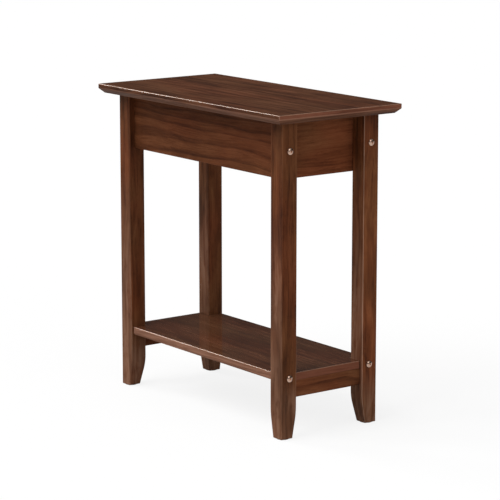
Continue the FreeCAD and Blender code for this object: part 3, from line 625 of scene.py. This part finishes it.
for node, board in WOODEN.items():
    give(node, stained_wood(f"wood_{node}", board))
for subpart in frame["record"]["subparts"]:
    if subpart["node"] not in WOODEN:
        give(subpart["node"], SMALL_FINISHES[subpart["material_slot"]])

# The floor, whose white is mostly seen as it is, while the rest takes the light and the table's shadow
FLOOR_REACH = 40.0                 # wide enough to fill the view
FLOOR_SEEN = (0.95, 0.95, 0.95)    # its colour to the camera and in reflections
FLOOR_BOUNCE = (0.65, 0.65, 0.65)  # its colour to the light that it throws back
FLOOR_ROUGHNESS = 0.9
PLAIN_WHITE_SHARE = 0.85


def pale_floor():
    """A wide plain floor."""
    mesh = bpy.data.meshes.new("floor")
    corners = [(x * FLOOR_REACH, y * FLOOR_REACH, 0.0) for x, y in ((-1, -1), (1, -1), (1, 1), (-1, 1))]
    mesh.from_pydata(corners, [], [(0, 1, 2, 3)])
    floor = bpy.data.objects.new("floor", mesh)
    bpy.context.scene.collection.objects.link(floor)
    shading = new_material("pale_floor")
    path = shading.add("LightPath", {}).outputs
    seen = shading.calculate("MAXIMUM", path["Is Camera Ray"], path["Is Glossy Ray"])
    seen = shading.calculate("MAXIMUM", seen, path["Is Transmission Ray"])
    colour = shading.blend(seen, FLOOR_BOUNCE, FLOOR_SEEN)
    mesh.materials.append(shading.finish({"Base Color": colour, "Roughness": FLOOR_ROUGHNESS}))
    lit = shading.tree.nodes[SURFACE].outputs["BSDF"]
    plain = shading.add("Emission", {"Color": WHITE, "Strength": 1.0}).outputs[0]
    share = shading.calculate("MULTIPLY", seen, PLAIN_WHITE_SHARE)
    mixed = shading.add("MixShader", [share, lit, plain]).outputs[0]
    shading.finish({"Surface": mixed}, "Material Output")
    floor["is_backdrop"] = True


pale_floor()

# Light: a sky, a broad key from the left, a low rim from behind, and a fill and a glint from the front end
HORIZON_LIGHT = 0.03
HORIZON_TOP = 0.20     # how far up the sky is as dim as the horizon, as a sine
OVERHEAD_LIGHT = 0.33
OVERHEAD_FROM = 0.75   # how far up it is as bright as overhead, as a sine


def studio_sky():
    """The surroundings, dim near the horizon and bright overhead."""
    sky = Shading(bpy.data.worlds.new("studio"))
    rise = sky.parts(sky.add("TexCoord", {}).outputs["Generated"])[2]
    light = sky.spread(rise, HORIZON_TOP, OVERHEAD_FROM, HORIZON_LIGHT, OVERHEAD_LIGHT)
    bpy.context.scene.world = sky.finish({"Color": WHITE, "Strength": light}, "Background")


def broad_lamp(name, azimuth, elevation, width, level, shines=True, mirrored=True):
    """A distant lamp as wide as an angle. Its level is what it adds to a white surface that faces it.

    One that doesn't shine only shows in reflections, and one that isn't mirrored doesn't show there.
    """
    data = bpy.data.lights.new(name, "SUN")
    data.energy = level * math.pi
    data.angle = math.radians(width)
    lamp = bpy.data.objects.new(name, data)
    turn = math.radians(azimuth)
    rise = math.radians(elevation)
    towards = Vector((math.cos(turn) * math.cos(rise), math.sin(turn) * math.cos(rise), math.sin(rise)))
    lamp.rotation_euler = towards.to_track_quat("Z", "Y").to_euler()
    lamp.visible_diffuse = shines
    lamp.visible_glossy = mirrored
    bpy.context.scene.collection.objects.link(lamp)


studio_sky()
broad_lamp("key", azimuth=-100.0, elevation=53.0, width=44.0, level=0.72)
broad_lamp("rim", azimuth=-162.0, elevation=31.0, width=22.0, level=0.34)
broad_lamp("fill", azimuth=5.0, elevation=15.0, width=55.0, level=0.34, mirrored=False)
broad_lamp("glint", azimuth=0.0, elevation=34.0, width=30.0, level=0.16, shines=False)

# The camera of the photograph, with its angles in radians
FRAME_PIXELS = 500.0       # the width of the photograph
FOCAL_PIXELS = 2287.20404  # the focal length, in pixels of that width
SENSOR = 36.0              # the width of the sensor, in millimetres
CAMERA_PLACE = Vector((3.496229, -2.586637, 1.160139))
CAMERA_YAW = 2.50239
CAMERA_PITCH = -0.19441


def photo_camera():
    """The camera, level from side to side."""
    data = bpy.data.cameras.new("camera")
    data.sensor_width = SENSOR
    data.lens = SENSOR * FOCAL_PIXELS / FRAME_PIXELS
    camera = bpy.data.objects.new("camera", data)
    level = math.cos(CAMERA_PITCH)
    ahead = Vector((level * math.cos(CAMERA_YAW), level * math.sin(CAMERA_YAW), math.sin(CAMERA_PITCH)))
    right = Vector((math.sin(CAMERA_YAW), -math.cos(CAMERA_YAW), 0.0))
    turn = Matrix((right, right.cross(ahead), -ahead)).transposed()
    camera.matrix_world = Matrix.Translation(CAMERA_PLACE) @ turn.to_4x4()
    bpy.context.scene.collection.objects.link(camera)
    bpy.context.scene.camera = camera


photo_camera()
bpy.context.scene.view_settings.view_transform = "Standard"

boxes = {"cad": cad_box, "visual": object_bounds()}
{name: [list(corner) for corner in box] for name, box in boxes.items()}
